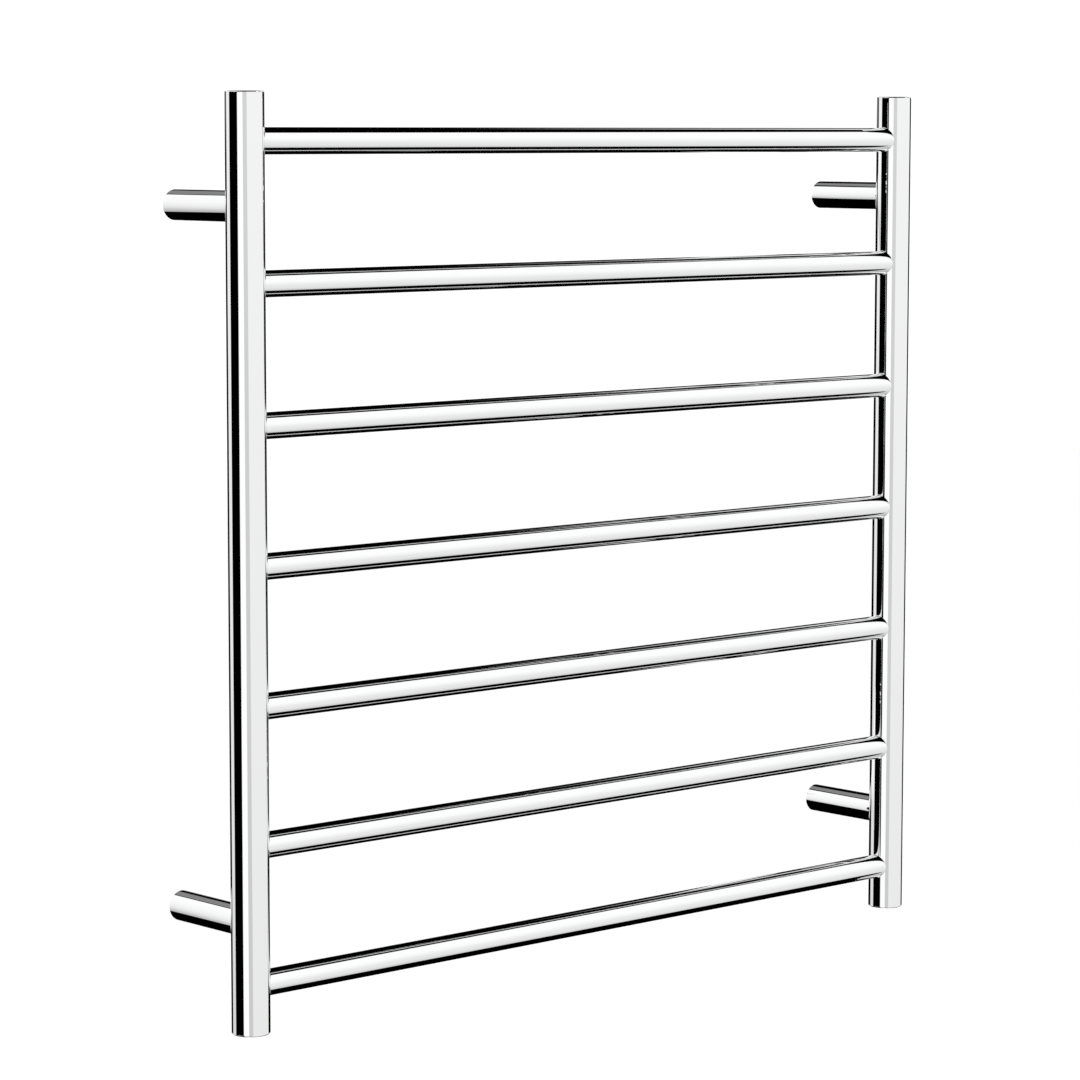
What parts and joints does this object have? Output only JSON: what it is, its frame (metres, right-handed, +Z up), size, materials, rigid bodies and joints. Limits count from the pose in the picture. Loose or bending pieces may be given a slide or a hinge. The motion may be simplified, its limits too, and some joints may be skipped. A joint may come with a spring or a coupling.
{
  "type": "towel warmer rack",
  "caption": "Wall-mounted ladder towel warmer: round bars welded between two round posts, on stand-off legs that slide over wall bosses and lock with set screws.",
  "frame": {"origin": "on the wall's face, at the centre of the rectangle of the four wall fixings", "axes": "+X to the right along the bars, +Y back into the wall, +Z up along the posts"},
  "size_m": [0.8, 0.11, 0.77],
  "materials": {
    "polished_steel": "mirror-polished stainless steel tube",
    "polished_cap": "mirror-polished stainless steel, turned",
    "plated_boss": "turned and zinc plated",
    "set_screw_steel": "black-oxide hardened steel",
    "silicone": "satin silicone rubber",
    "ceramic": "matt ceramic sleeve",
    "crimp_sleeve": "glossy heat-shrink sleeve",
    "grommet_rubber": "soft black rubber"
  },
  "bodies": {
    "wall_fittings": {"top_left_wall_boss": "plated_boss", "top_right_wall_boss": "plated_boss", "bottom_left_wall_boss": "plated_boss", "bottom_right_wall_boss": "plated_boss", "cable_grommet": "grommet_rubber"},
    "rack": {"left_post": "polished_steel", "right_post": "polished_steel", "left_top_cap": "polished_cap", "left_bottom_cap": "polished_cap", "right_top_cap": "polished_cap", "right_bottom_cap": "polished_cap", "bar_1": "polished_steel", "bar_2": "polished_steel", "bar_3": "polished_steel", "bar_4": "polished_steel", "bar_5": "polished_steel", "bar_6": "polished_steel", "bar_7": "polished_steel", "top_left_leg": "polished_steel", "top_right_leg": "polished_steel", "bottom_left_leg": "polished_steel", "bottom_right_leg": "polished_steel", "heating_cable": "silicone", "thermal_cutout": "ceramic", "splice_sleeve": "crimp_sleeve", "cable_end_seal": "silicone"},
    "top_left_screw": {"top_left_set_screw": "set_screw_steel"},
    "top_right_screw": {"top_right_set_screw": "set_screw_steel"},
    "bottom_left_screw": {"bottom_left_set_screw": "set_screw_steel"},
    "bottom_right_screw": {"bottom_right_set_screw": "set_screw_steel"}
  },
  "joints": [
    {"name": "rack_lift_off", "type": "slide", "parent": "wall_fittings", "child": "rack", "axis": [0, -1, 0], "range_m": [0, 0.021]},
    {"name": "top_left_screw_out", "type": "slide", "parent": "rack", "child": "top_left_screw", "axis": [0, 0, -1], "range_m": [0, 0.003]},
    {"name": "top_right_screw_out", "type": "slide", "parent": "rack", "child": "top_right_screw", "axis": [0, 0, -1], "range_m": [0, 0.003]},
    {"name": "bottom_left_screw_out", "type": "slide", "parent": "rack", "child": "bottom_left_screw", "axis": [0, 0, -1], "range_m": [0, 0.003]},
    {"name": "bottom_right_screw_out", "type": "slide", "parent": "rack", "child": "bottom_right_screw", "axis": [0, 0, -1], "range_m": [0, 0.003]}
  ]
}
